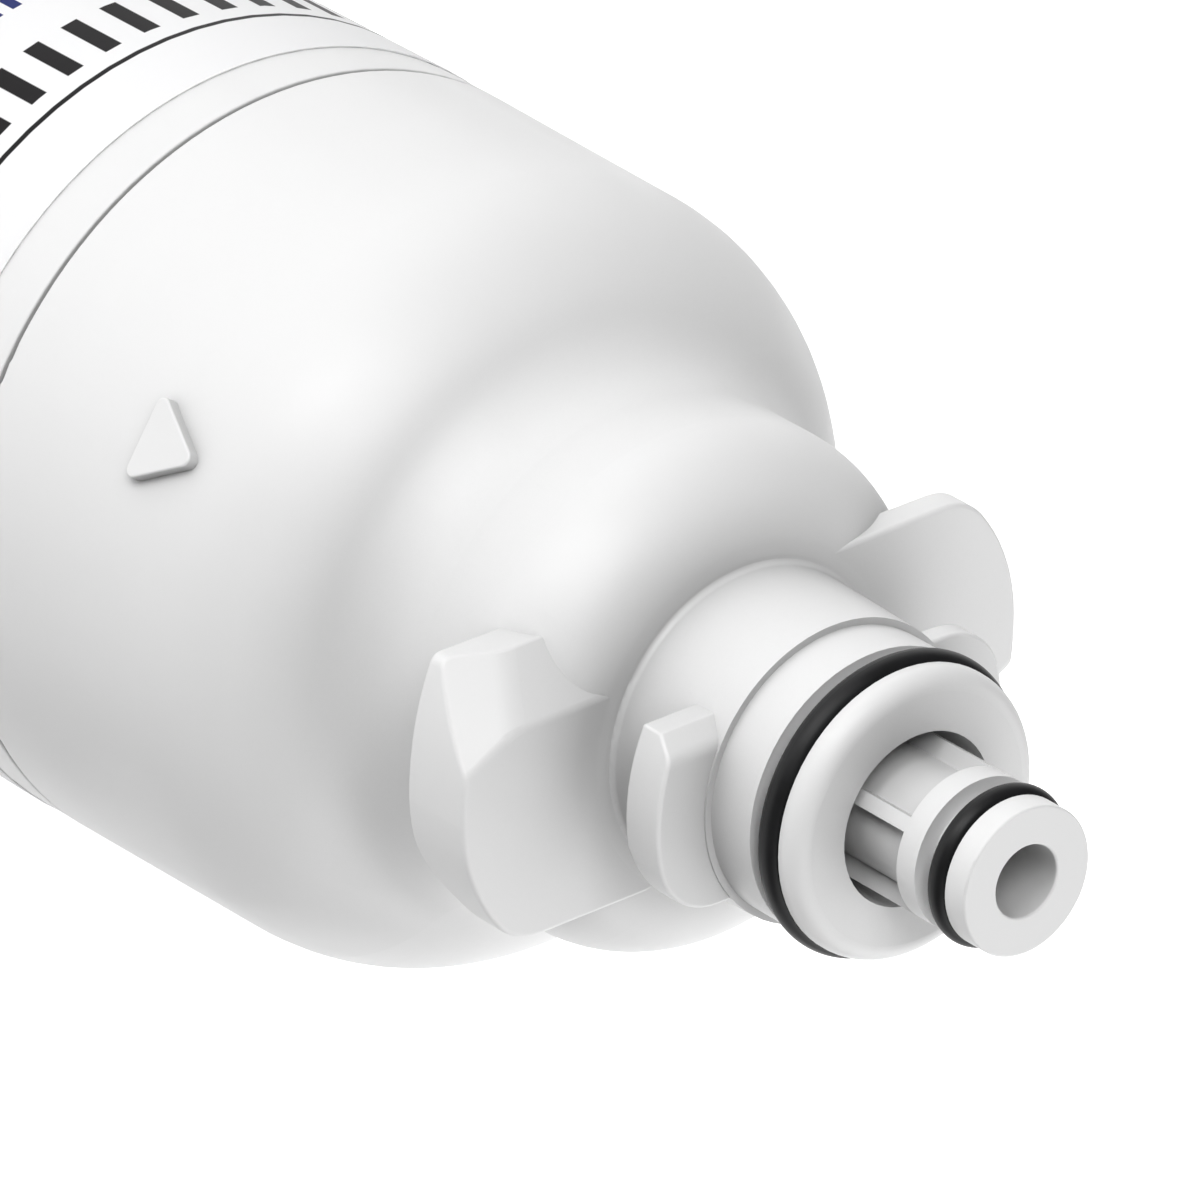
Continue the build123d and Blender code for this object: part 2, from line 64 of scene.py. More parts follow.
class Bench:
    """Lays shader nodes out on one node tree and wires them up."""

    def __init__(self, tree: bpy.types.NodeTree) -> None:
        """Starts on a tree, and clears what is on it.

        Args:
            tree: The node tree of a material, of a node group or of the room.
        """
        self.tree = tree
        tree.nodes.clear()

    def add(self, kind: str, **settings: object) -> bpy.types.Node:
        """Puts one node on the tree.

        Args:
            kind: The node's class name.
            **settings: Attributes to set on it.

        Returns:
            The node.
        """
        node = self.tree.nodes.new(kind)
        for name, value in settings.items():
            setattr(node, name, value)
        return node

    def wire(self, source: bpy.types.NodeSocket, target: bpy.types.NodeSocket) -> None:
        """Joins an output to an input."""
        self.tree.links.new(source, target)

    def feed(self, target: bpy.types.NodeSocket, value: object) -> None:
        """Gives an input a plain value, or wires an output to it.

        Args:
            target: The input.
            value: A number, a colour, or another node's output.
        """
        if isinstance(value, bpy.types.NodeSocket):
            self.wire(value, target)
        else:
            target.default_value = value

    def sum(
        self, kind: Maths, first: object, second: object = 0.0, clamp: bool = False
    ) -> bpy.types.NodeSocket:
        """Works out one sum.

        Args:
            kind: Which sum.
            first: The first value or output.
            second: The second value or output.
            clamp: Whether the result is kept from 0 to 1.

        Returns:
            The sum's output.
        """
        node = self.add("ShaderNodeMath", operation=kind.value, use_clamp=clamp)
        self.feed(node.inputs[0], first)
        self.feed(node.inputs[1], second)
        return node.outputs[0]

    def remap(self, value: object, given: Span, wanted: Span = (0.0, 1.0)) -> bpy.types.NodeSocket:
        """Spreads a value from one range over another, smoothly and held at its ends.

        Args:
            value: The output to spread.
            given: The range that it comes in.
            wanted: What it gives at the start and at the end of that range.

        Returns:
            The spread value's output.
        """
        node = self.add("ShaderNodeMapRange", interpolation_type="SMOOTHSTEP")
        self.feed(node.inputs["Value"], value)
        node.inputs["From Min"].default_value, node.inputs["From Max"].default_value = given
        node.inputs["To Min"].default_value, node.inputs["To Max"].default_value = wanted
        return node.outputs["Result"]

    def blend(self, share: object, first: object, second: object) -> bpy.types.NodeSocket:
        """Mixes two colours.

        Args:
            share: How much of the second, from 0 to 1.
            first: The first colour or output.
            second: The second colour or output.

        Returns:
            The mixed colour's output.
        """
        node = self.add("ShaderNodeMix", data_type="RGBA")
        self.feed(node.inputs[0], share)
        for target, colour in ((node.inputs[6], first), (node.inputs[7], second)):
            self.feed(target, colour if isinstance(colour, bpy.types.NodeSocket) else (*colour, 1.0))
        return node.outputs[2]

    def noise(
        self, where: object, scale: object, detail: float = 2.0, rough: float = 0.5
    ) -> bpy.types.NodeSocket:
        """Puts a noise pattern on the tree.

        Args:
            where: The coordinates' output.
            scale: The pattern's scale, a number or an output.
            detail: How many finer layers it has.
            rough: How strong those layers are.

        Returns:
            The pattern's value, about 0.5 on average.
        """
        node = self.add("ShaderNodeTexNoise")
        self.feed(node.inputs["Vector"], where)
        self.feed(node.inputs["Scale"], scale)
        node.inputs["Detail"].default_value = detail
        node.inputs["Roughness"].default_value = rough
        return node.outputs["Fac"]

    def laid(self, where: object, stretch: Point, turn: Point = (0.0, 0.0, 0.0)) -> bpy.types.NodeSocket:
        """Turns and stretches coordinates for a pattern that runs one way.

        Args:
            where: The coordinates' output.
            stretch: The scale along each axis, under 1 where the pattern is drawn out.
            turn: The turn about each axis in radians.

        Returns:
            The new coordinates' output.
        """
        node = self.add("ShaderNodeMapping")
        self.feed(node.inputs["Vector"], where)
        node.inputs["Rotation"].default_value = turn
        node.inputs["Scale"].default_value = stretch
        return node.outputs["Vector"]

    def rays(self, *kinds: str) -> bpy.types.NodeSocket:
        """Marks the rays of some kinds.

        Args:
            *kinds: Outputs of the Light Path node.

        Returns:
            A mask, 1 on those rays and 0 on the rest.
        """
        path = self.add("ShaderNodeLightPath")
        mask = path.outputs[kinds[0]]
        for kind in kinds[1:]:
            mask = self.sum(Maths.HIGHEST, mask, path.outputs[kind])
        return mask


@dataclass(frozen=True)
class Port:
    """One named socket of a node group, with its starting value."""

    name: str
    kind: str = "NodeSocketFloat"
    start: float | None = None


class Effect:
    """A node group with named inputs and outputs, placed in each material that uses it."""

    title = "effect"
    takes: tuple[Port, ...] = ()
    gives: tuple[Port, ...] = ()

    def __init__(self) -> None:
        """Builds the group."""
        self.group = bpy.data.node_groups.new(self.title, "ShaderNodeTree")
        self.bench = Bench(self.group)
        for ports, side in ((self.takes, "INPUT"), (self.gives, "OUTPUT")):
            for port in ports:
                socket = self.group.interface.new_socket(port.name, in_out=side, socket_type=port.kind)
                if port.start is not None:
                    socket.default_value = port.start
        entry = self.bench.add("NodeGroupInput")
        leave = self.bench.add("NodeGroupOutput")
        results = self.draw({port.name: entry.outputs[port.name] for port in self.takes})
        for name, value in results.items():
            self.bench.wire(value, leave.inputs[name])

    def draw(self, given: dict[str, bpy.types.NodeSocket]) -> dict[str, bpy.types.NodeSocket]:
        """Lays out the group's inside.

        Args:
            given: The group's inputs by name.

        Returns:
            What each of its outputs gets.
        """
        raise NotImplementedError

    def place(self, bench: Bench, **values: object) -> bpy.types.Node:
        """Puts the group in a material.

        Args:
            bench: The material's bench.
            **values: A value or output for each input, with _ for a space.

        Returns:
            The group's node.
        """
        node = bench.add("ShaderNodeGroup", node_tree=self.group)
        for name, value in values.items():
            bench.feed(node.inputs[name.replace("_", " ")], value)
        return node


class MouldSkin(Effect):
    """The skin of an injection moulding: fine spark-eroded grain, slow drift in tone, and flow marks."""

    title = "mould skin"
    takes = (
        Port("Vector", "NodeSocketVector"),
        Port("Grain Scale", start=2600.0),
        Port("Drift Scale", start=26.0),
    )
    gives = (Port("Grain"), Port("Drift"), Port("Flow"))
    grain_detail = 1.0
    drift_detail = 3.0
    drift_rough = 0.55
    drift_span: Span = (0.3, 0.7)
    flow_scale = 140.0
    flow_stretch: Point = (1.0, 1.0, 0.18)
    flow_span: Span = (0.35, 0.65)

    def draw(self, given: dict[str, bpy.types.NodeSocket]) -> dict[str, bpy.types.NodeSocket]:
        """Lays out grain, drift and flow from three noises.

        Args:
            given: Vector, Grain Scale and Drift Scale.

        Returns:
            Grain, Drift and Flow, each from 0 to 1.
        """
        bench, where = self.bench, given["Vector"]
        drift = bench.noise(where, given["Drift Scale"], self.drift_detail, self.drift_rough)
        flow = bench.noise(bench.laid(where, self.flow_stretch), self.flow_scale)
        return {
            "Grain": bench.noise(where, given["Grain Scale"], self.grain_detail),
            "Drift": bench.remap(drift, self.drift_span),
            "Flow": bench.remap(flow, self.flow_span),
        }


class Handling(Effect):
    """Traces of handling: sparse hairline scuffs and dull finger-sized patches."""

    title = "handling"
    takes = (Port("Vector", "NodeSocketVector"), Port("Spread", start=0.5))
    gives = (Port("Scuffs"), Port("Patches"))
    scuff_turn: Point = (0.5, 0.3, 0.9)
    scuff_stretch: Point = (1.0, 0.05, 1.0)
    scuff_scale = 900.0
    scuff_span: Span = (0.68, 0.74)
    break_scale = 34.0
    break_span: Span = (0.52, 0.66)
    patch_scale = 60.0
    patch_span: Span = (0.45, 0.7)
    plain_detail = 1.0

    def draw(self, given: dict[str, bpy.types.NodeSocket]) -> dict[str, bpy.types.NodeSocket]:
        """Lays out scuffs from a stretched noise, broken up by a coarse one, and patches.

        Args:
            given: Vector and Spread.

        Returns:
            Scuffs and Patches, each from 0 to 1.
        """
        bench, where, spread = self.bench, given["Vector"], given["Spread"]
        drawn_out = bench.laid(where, self.scuff_stretch, self.scuff_turn)
        lines = bench.remap(bench.noise(drawn_out, self.scuff_scale, self.plain_detail), self.scuff_span)
        broken = bench.remap(bench.noise(where, self.break_scale), self.break_span)
        scuffs = bench.sum(Maths.MULTIPLY, lines, broken)
        patches = bench.remap(bench.noise(where, self.patch_scale, self.plain_detail), self.patch_span)
        return {
            "Scuffs": bench.sum(Maths.MULTIPLY, scuffs, spread),
            "Patches": bench.sum(Maths.MULTIPLY, patches, spread),
        }


class PaintedCreaseShade(Effect):
    """Painted shade: greys the colour where a moulding closes in on itself, by ambient occlusion."""

    title = "painted_crease_shade"
    takes = (Port("Reach", start=0.02), Port("Least", start=0.55))
    gives = (Port("Painted Shade"),)
    samples = 16

    def draw(self, given: dict[str, bpy.types.NodeSocket]) -> dict[str, bpy.types.NodeSocket]:
        """Reads how open the surface is within a reach.

        Args:
            given: Reach in metres, and Least, the openness below which the painted shade grows no further.

        Returns:
            The painted shade's share, from 0 in the open to 1 deep in a crease.
        """
        bench = self.bench
        around = bench.add("ShaderNodeAmbientOcclusion", samples=self.samples)
        bench.wire(given["Reach"], around.inputs["Distance"])
        closed = bench.sum(Maths.SUBTRACT, 1.0, around.outputs["AO"])
        span = bench.sum(Maths.SUBTRACT, 1.0, given["Least"])
        return {"Painted Shade": bench.sum(Maths.DIVIDE, closed, span, clamp=True)}


class RingGroove(Effect):
    """The groove of a sealing ring, where the painted crease shade is left off."""

    title = "ring groove"
    takes = (Port("Vector", "NodeSocketVector"), Port("Low"), Port("High"), Port("Inside"))
    gives = (Port("Unshaded"),)
    across_axis: Point = (1.0, 1.0, 0.0)

    def draw(self, given: dict[str, bpy.types.NodeSocket]) -> dict[str, bpy.types.NodeSocket]:
        """Marks what lies between two heights and outside a radius about the axis.

        Args:
            given: Vector, and Low, High and Inside in metres.

        Returns:
            The mask, 1 in the groove, where no painted shade goes, and 0 elsewhere.
        """
        bench = self.bench
        axes = bench.add("ShaderNodeSeparateXYZ")
        bench.wire(given["Vector"], axes.inputs[0])
        flat = bench.add("ShaderNodeVectorMath", operation="MULTIPLY")
        bench.wire(given["Vector"], flat.inputs[0])
        flat.inputs[1].default_value = self.across_axis
        radius = bench.add("ShaderNodeVectorMath", operation="LENGTH")
        bench.wire(flat.outputs["Vector"], radius.inputs[0])
        above = bench.sum(Maths.OVER, axes.outputs["Z"], given["Low"])
        below = bench.sum(Maths.OVER, given["High"], axes.outputs["Z"])
        outside = bench.sum(Maths.OVER, radius.outputs["Value"], given["Inside"])
        level = bench.sum(Maths.MULTIPLY, above, below)
        return {"Unshaded": bench.sum(Maths.MULTIPLY, level, outside)}


class Fibres(Effect):
    """Tangled fibres of a felt or a fleece."""

    title = "fibres"
    takes = (Port("Vector", "NodeSocketVector"), Port("Fibre Scale", start=500.0))
    gives = (Port("Height"), Port("Shade"))
    tilt = 0.4
    layings: tuple[tuple[float, Point], ...] = ((0.6, (1.0, 0.12, 1.0)), (-0.8, (0.12, 1.0, 1.0)))
    shade_span: Span = (0.45, 0.7)

    def draw(self, given: dict[str, bpy.types.NodeSocket]) -> dict[str, bpy.types.NodeSocket]:
        """Crosses two stretched noises.

        Args:
            given: Vector and Fibre Scale.

        Returns:
            Height and Shade, each from 0 to 1.
        """
        bench = self.bench
        layers = []
        for turn, stretch in self.layings:
            drawn_out = bench.laid(given["Vector"], stretch, (turn, self.tilt, turn))
            layers.append(bench.noise(drawn_out, given["Fibre Scale"]))
        height = bench.sum(Maths.HIGHEST, *layers)
        return {"Height": height, "Shade": bench.remap(height, self.shade_span)}


class Effects:
    """The shared effects, each built once."""

    def __init__(self) -> None:
        """Builds every effect's node group."""
        self.skin = MouldSkin()
        self.handling = Handling()
        self.painted_crease_shade = PaintedCreaseShade()
        self.groove = RingGroove()
        self.fibres = Fibres()


class Finish:
    """A surface finish, which makes one material and lays it on nodes."""

    title = "finish"
    skin_depth = 0.00002

    def __init__(self) -> None:
        """Makes the material with its Principled shader and coordinates."""
        self.material = bpy.data.materials.new(self.title)
        self.material.use_nodes = True
        self.bench = Bench(self.material.node_tree)
        self.shader = self.bench.add("ShaderNodeBsdfPrincipled")
        leave = self.bench.add("ShaderNodeOutputMaterial")
        self.bench.wire(self.shader.outputs["BSDF"], leave.inputs["Surface"])
        self.where = self.bench.add("ShaderNodeTexCoord").outputs["Object"]

    def colour(self, value: bpy.types.NodeSocket) -> None:
        """Gives the shader its colour."""
        self.bench.wire(value, self.shader.inputs["Base Color"])

    def gloss(self, rough: bpy.types.NodeSocket, sheen_level: float | None = None) -> None:
        """Gives the shader its roughness and the strength of its reflections.

        Args:
            rough: The roughness.
            sheen_level: The strength of its reflections, or None for the shader's own.
        """
        self.bench.wire(rough, self.shader.inputs["Roughness"])
        if sheen_level is not None:
            self.shader.inputs["Specular IOR Level"].default_value = sheen_level

    def bump(self, height: bpy.types.NodeSocket, strength: float, distance: float) -> None:
        """Raises the surface by a height pattern.

        Args:
            height: The pattern.
            strength: How much of it shows, from 0 to 1.
            distance: Its depth in metres.
        """
        node = self.bench.add("ShaderNodeBump")
        node.inputs["Strength"].default_value = strength
        node.inputs["Distance"].default_value = distance
        self.bench.wire(height, node.inputs["Height"])
        self.bench.wire(node.outputs["Normal"], self.shader.inputs["Normal"])

    def lay(self, names: tuple[str, ...]) -> None:
        """Puts the material on CAD nodes.

        Args:
            names: The nodes' names.
        """
        for name in names:
            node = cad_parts[name]
            node.data.materials.clear()
            node.data.materials.append(self.material)
            log.info("%s has finish %s", name, self.title)


@dataclass(frozen=True)
class Groove:
    """Where a sealing ring's groove lies, by its heights and a radius inside its floor, in metres."""

    low: float
    high: float
    inside: float


@dataclass(frozen=True)
class PlasticLook:
    """What sets one moulded plastic apart from another."""

    title: str
    colour: Colour
    shade: Colour
    roughness: float
    grain: float
    # Painted shade: the grey that the colour turns towards where the moulding closes in.
    film: Colour = (0.51, 0.51, 0.51)
    groove: Groove | None = None


class Plastic(Finish):
    """A moulded plastic with grain, drift in tone, traces of handling and painted crease shade."""

    mark_spread = 0.5
    rough_swing = 0.03
    patch_dulling = 0.05
    scuff_dulling = 0.12
    sheen_level = 0.42

    def __init__(self, look: PlasticLook, effects: Effects) -> None:
        """Builds the material.

        Args:
            look: Its colours, gloss and grain.
            effects: The shared effects.
        """
        self.title = look.title
        super().__init__()
        bench = self.bench
        face = effects.skin.place(bench, Vector=self.where)
        marks = effects.handling.place(bench, Vector=self.where, Spread=self.mark_spread)
        tone = bench.blend(face.outputs["Drift"], look.colour, look.shade)
        # Painted shade: the colour is blended towards look.film where the moulding closes in.
        self.colour(bench.blend(self.film(look, effects), tone, look.film))
        swing = (look.roughness - self.rough_swing, look.roughness + self.rough_swing)
        rough = bench.remap(face.outputs["Flow"], (0.0, 1.0), swing)
        for mark, dulling in (("Patches", self.patch_dulling), ("Scuffs", self.scuff_dulling)):
            rough = bench.sum(Maths.ADD, rough, bench.sum(Maths.MULTIPLY, marks.outputs[mark], dulling))
        self.gloss(rough, self.sheen_level)
        self.bump(face.outputs["Grain"], look.grain, self.skin_depth)

    def film(self, look: PlasticLook, effects: Effects) -> bpy.types.NodeSocket:
        """Finds where painted shade goes: where the moulding closes in, by ambient occlusion, but not in a
        ring's groove.

        Args:
            look: The plastic's look, with its groove if it has one.
            effects: The shared effects.

        Returns:
            The painted shade's share, from 0 to 1.
        """
        bench = self.bench
        film = effects.painted_crease_shade.place(bench).outputs["Painted Shade"]
        if look.groove is None:
            return film
        low, high, inside = look.groove.low, look.groove.high, look.groove.inside
        groove = effects.groove.place(bench, Vector=self.where, Low=low, High=high, Inside=inside)
        kept = bench.sum(Maths.SUBTRACT, 1.0, groove.outputs["Unshaded"])
        return bench.sum(Maths.MULTIPLY, film, kept)


@dataclass(frozen=True)
class Band:
    """One printed band round the label, by its heights in metres and its colour."""

    low: float
    high: float
    ink: Colour
    dashes: int = 0
    filled: float = 1.0


class LabelFilm(Finish):
    """White film with plain printed bands and a soft gloss."""

    title = "label film"
    white: Colour = (0.86, 0.86, 0.865)
    black: Colour = (0.010, 0.009, 0.010)
    navy: Colour = (0.02, 0.03, 0.14)
    foot_navy: Colour = (0.02, 0.03, 0.16)
    foot_black: Colour = (0.012, 0.012, 0.014)
    worn: Colour = (0.7, 0.7, 0.7)
    bands = (
        Band(low=0.1392, high=0.1398, ink=black),
        Band(low=0.1308, high=0.1372, ink=black, dashes=54, filled=0.42),
        Band(low=0.1225, high=0.1250, ink=navy, dashes=108, filled=0.5),
        Band(low=0.0235, high=0.0260, ink=foot_navy),
        Band(low=0.0190, high=0.0200, ink=foot_black),
    )
    ink_edge = 0.00006
    dash_edge = 0.015
    grain_scale = 1500.0
    grain = 0.12
    mark_spread = 0.35
    scuff_wear = 0.2
    patch_span: Span = (0.0, 0.5)
    roughness: Span = (0.46, 0.52)
    sheen_level = 0.1

    def __init__(self, effects: Effects) -> None:
        """Builds the film with its print.

        Args:
            effects: The shared effects.
        """
        super().__init__()
        bench = self.bench
        marks = effects.handling.place(bench, Vector=self.where, Spread=self.mark_spread)
        face = effects.skin.place(bench, Vector=self.where, Grain_Scale=self.grain_scale)
        wear = bench.sum(Maths.MULTIPLY, marks.outputs["Scuffs"], self.scuff_wear)
        self.colour(bench.blend(wear, self.printed(), self.worn))
        self.gloss(bench.remap(marks.outputs["Patches"], self.patch_span, self.roughness), self.sheen_level)
        self.bump(face.outputs["Grain"], self.grain, self.skin_depth)

    def printed(self) -> bpy.types.NodeSocket:
        """Prints the bands on the white film.

        Returns:
            The film's colour.
        """
        bench = self.bench
        axes = bench.add("ShaderNodeSeparateXYZ")
        bench.wire(self.where, axes.inputs[0])
        turn = bench.sum(Maths.TURN, axes.outputs["Y"], axes.outputs["X"])
        share = bench.sum(Maths.ADD, bench.sum(Maths.DIVIDE, turn, 2 * math.pi), 0.5)
        colour: object = self.white
        for band in self.bands:
            colour = bench.blend(self.inked(band, axes.outputs["Z"], share), colour, band.ink)
        return colour

    def inked(
        self, band: Band, height: bpy.types.NodeSocket, share: bpy.types.NodeSocket
    ) -> bpy.types.NodeSocket:
        """Marks where one band is printed.

        Args:
            band: The band.
            height: The height above the base.
            share: The way round the label, from 0 to 1.

        Returns:
            A mask, 1 where there is ink.
        """
        bench, edge = self.bench, self.ink_edge
        lower = bench.remap(height, (band.low - edge, band.low + edge))
        upper = bench.remap(height, (band.high - edge, band.high + edge), (1.0, 0.0))
        mask = bench.sum(Maths.MULTIPLY, lower, upper)
        if band.dashes:
            place = bench.sum(Maths.FRACTION, bench.sum(Maths.MULTIPLY, share, float(band.dashes)))
            off = bench.sum(Maths.ABSOLUTE, bench.sum(Maths.SUBTRACT, place, 0.5))
            ends = (band.filled / 2 - self.dash_edge, band.filled / 2 + self.dash_edge)
            mask = bench.sum(Maths.MULTIPLY, mask, bench.remap(off, ends, (1.0, 0.0)))
        return mask


class SealRubber(Finish):
    """Black seal rubber under a thin film of grease."""

    title = "seal rubber"
    black: Colour = (0.010, 0.010, 0.0105)
    bloom: Colour = (0.014, 0.014, 0.015)
    grain_scale = 1800.0
    drift_scale = 220.0
    grain = 0.15
    roughness: Span = (0.4, 0.46)
    sheen_level = 0.22

    def __init__(self, effects: Effects) -> None:
        """Builds the rubber.

        Args:
            effects: The shared effects.
        """
        super().__init__()
        face = effects.skin.place(
            self.bench, Vector=self.where, Grain_Scale=self.grain_scale, Drift_Scale=self.drift_scale
        )
        self.colour(self.bench.blend(face.outputs["Drift"], self.black, self.bloom))
        self.gloss(self.bench.remap(face.outputs["Drift"], (0.0, 1.0), self.roughness), self.sheen_level)
        self.bump(face.outputs["Grain"], self.grain, self.skin_depth)


@dataclass(frozen=True)
class GrainLook:
    """What sets one grainy or fibrous filler apart from another."""

    title: str
    colour: Colour
    shade: Colour
    roughness: Span
    scale: float
    depth: float


class Felt(Finish):
    """A felt or a foam whose shade follows its fibres."""

    relief = 0.6

    def __init__(self, look: GrainLook, effects: Effects) -> None:
        """Builds the material.

        Args:
            look: Its colours, scale and depth.
            effects: The shared effects.
        """
        self.title = look.title
        super().__init__()
        tangle = effects.fibres.place(self.bench, Vector=self.where, Fibre_Scale=look.scale)
        self.colour(self.bench.blend(tangle.outputs["Shade"], look.shade, look.colour))
        self.gloss(self.bench.remap(tangle.outputs["Shade"], (0.0, 1.0), look.roughness))
        self.bump(tangle.outputs["Height"], self.relief, look.depth)


class Carbon(Finish):
    """Pressed carbon: packed grains with bright facets here and there."""

    title = "pressed carbon"
    facet: Colour = (0.03, 0.03, 0.03)
    grit: Colour = (0.012, 0.012, 0.012)
    cell_scale = 1400.0
    cell_span: Span = (0.1, 0.6)
    cell_depth = 0.0002
    relief = 0.5
    grain_scale = 3500.0
    drift_scale = 60.0
    grain_span: Span = (0.3, 0.7)
    roughness: Span = (0.75, 0.95)

    def __init__(self, effects: Effects) -> None:
        """Builds the carbon.

        Args:
            effects: The shared effects.
        """
        super().__init__()
        bench = self.bench
        cells = bench.add("ShaderNodeTexVoronoi")
        bench.wire(self.where, cells.inputs["Vector"])
        cells.inputs["Scale"].default_value = self.cell_scale
        face = effects.skin.place(
            bench, Vector=self.where, Grain_Scale=self.grain_scale, Drift_Scale=self.drift_scale
        )
        spark = bench.remap(cells.outputs["Distance"], self.cell_span)
        self.colour(bench.blend(spark, self.facet, self.grit))
        self.gloss(bench.remap(face.outputs["Grain"], self.grain_span, self.roughness))
        self.bump(cells.outputs["Distance"], self.relief, self.cell_depth)


@dataclass
class WrapLabel:
    """The film round the canister, with the lap at the back where its end covers its start."""

    lap_turn: float = 45.0
    lap_width: float = 0.008
    film_thickness: float = 0.00012
    bite: float = 0.00008
    draft: float = 0.4
    sides: int = 360
    smooth_angle: float = 30.0

    def build_lap(self) -> bpy.types.Object:
        """Makes the lap, a strip of a thin cone that follows the label's outside.

        Returns:
            The lap.
        """
        low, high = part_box("wrap_label")
        length = high.z - low.z
        wide = high.x - self.bite
        narrow = wide - length * math.tan(math.radians(self.draft))
        bpy.ops.object.select_all(action="DESELECT")
        bpy.ops.mesh.primitive_cone_add(
            vertices=self.sides,
            radius1=narrow,
            radius2=wide,
            depth=length,
            end_fill_type="NOTHING",
            location=(0.0, 0.0, (low.z + high.z) / 2),
        )
        lap = bpy.context.object
        lap.name = "label_lap"
        bpy.ops.object.transform_apply(location=True, rotation=True, scale=True)
        self.cut_strip(lap, wide)
        self.thicken(lap)
        log.info("label_lap built with %d faces", len(lap.data.polygons))
        return lap

    def cut_strip(self, lap: bpy.types.Object, radius: float) -> None:
        """Cuts all away but the strip where the film laps.

        Args:
            lap: The whole cone.
            radius: Its radius, which turns an angle into a width.
        """
        bpy.ops.object.mode_set(mode="EDIT")
        bpy.ops.mesh.select_mode(type="FACE")
        bpy.ops.mesh.select_all(action="DESELECT")
        bpy.ops.object.mode_set(mode="OBJECT")
        for face in lap.data.polygons:
            turned = Vector(face.center).to_2d().angle_signed(self.way())
            face.select = abs(turned) * radius > self.lap_width / 2
        bpy.ops.object.mode_set(mode="EDIT")
        bpy.ops.mesh.delete(type="FACE")
        bpy.ops.object.mode_set(mode="OBJECT")

    def thicken(self, lap: bpy.types.Object) -> None:
        """Gives the strip the film's thickness, outwards from just under the label's face.

        Args:
            lap: The bare strip.
        """
        thick = lap.modifiers.new("thick", "SOLIDIFY")
        thick.thickness = self.film_thickness + self.bite
        thick.offset = 1.0
        bpy.ops.object.modifier_apply(modifier=thick.name)
        bpy.ops.object.mode_set(mode="EDIT")
        bpy.ops.mesh.select_all(action="SELECT")
        bpy.ops.mesh.normals_make_consistent(inside=False)
        bpy.ops.object.mode_set(mode="OBJECT")
        bpy.ops.object.shade_smooth_by_angle(angle=math.radians(self.smooth_angle))

    def way(self) -> Vector:
        """Gives the flat direction of the lap's middle from the axis."""
        turn = math.radians(self.lap_turn)
        return Vector((math.cos(turn), math.sin(turn)))

    def build(self, effects: Effects) -> None:
        """Dresses the label and adds its lap in the same film.

        Args:
            effects: The shared effects.
        """
        film = LabelFilm(effects)
        film.lay(("wrap_label",))
        lap = self.build_lap()
        lap.data.materials.append(film.material)
        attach(lap, ROOT)


@dataclass
class Shell:
    """The outside mouldings: canister, cap and spigot."""

    cap: PlasticLook = PlasticLook(
        title="cap plastic",
        colour=(0.80, 0.80, 0.80),
        shade=(0.785, 0.785, 0.785),
        roughness=0.42,
        grain=0.12,
        groove=Groove(low=0.22964, high=0.23326, inside=0.010),
    )
    canister: PlasticLook = PlasticLook(
        title="canister plastic",
        colour=(0.80, 0.80, 0.80),
        shade=(0.785, 0.785, 0.785),
        roughness=0.42,
        grain=0.12,
    )
    spigot: PlasticLook = PlasticLook(
        title="spigot plastic",
        colour=(0.80, 0.80, 0.80),
        shade=(0.79, 0.79, 0.79),
        roughness=0.4,
        grain=0.08,
        # A lighter grey of painted crease shade on the spigot.
        film=(0.60, 0.60, 0.60),
        groove=Groove(low=0.24304, high=0.24661, inside=0.0045),
    )

    def dress(self, effects: Effects) -> None:
        """Lays the white plastics on the outside mouldings.

        Args:
            effects: The shared effects.
        """
        Plastic(self.cap, effects).lay(("head_cap",))
        Plastic(self.canister, effects).lay(("canister",))
        Plastic(self.spigot, effects).lay(("outlet_spigot",))


@dataclass
class Seals:
    """The three sealing rings."""

    rings: tuple[str, ...] = ("nose_o_ring", "spigot_o_ring", "nipple_o_ring")

    def dress(self, effects: Effects) -> None:
        """Lays the rubber on the rings."""
        SealRubber(effects).lay(self.rings)


@dataclass
class FilterPack:
    """What the canister holds: carbon, felts, netting, end caps, glue and foam."""

    inner: PlasticLook = PlasticLook(
        title="inner plastic",
        colour=(0.72, 0.73, 0.72),
        shade=(0.66, 0.67, 0.66),
        roughness=0.5,
        grain=0.2,
    )
    netting: PlasticLook = PlasticLook(
        title="netting plastic",
        colour=(0.74, 0.76, 0.78),
        shade=(0.66, 0.68, 0.7),
        roughness=0.45,
        grain=0.1,
    )
    glue: PlasticLook = PlasticLook(
        title="hot glue",
        colour=(0.7, 0.66, 0.5),
        shade=(0.6, 0.55, 0.38),
        roughness=0.3,
        grain=0.05,
    )
    felt: GrainLook = GrainLook(
        title="filter felt",
        colour=(0.83, 0.83, 0.8),
        shade=(0.62, 0.62, 0.58),
        roughness=(0.88, 0.98),
        scale=700.0,
        depth=0.0003,
    )
    foam: GrainLook = GrainLook(
        title="pad foam",
        colour=(0.62, 0.62, 0.62),
        shade=(0.4, 0.4, 0.4),
        roughness=(0.85, 0.95),
        scale=1200.0,
        depth=0.0003,
    )

    def dress(self, effects: Effects) -> None:
        """Lays the pack's finishes.

        Args:
            effects: The shared effects.
        """
        Plastic(self.inner, effects).lay(("core_tube", "upper_end_cap", "lower_end_cap"))
        Plastic(self.netting, effects).lay(("outer_netting",))
        Plastic(self.glue, effects).lay(("upper_glue_ring", "lower_glue_ring"))
        Felt(self.felt, effects).lay(("sediment_wrap", "post_filter_sleeve"))
        Felt(self.foam, effects).lay(("bottom_pad",))
        Carbon(effects).lay(("carbon_block",))


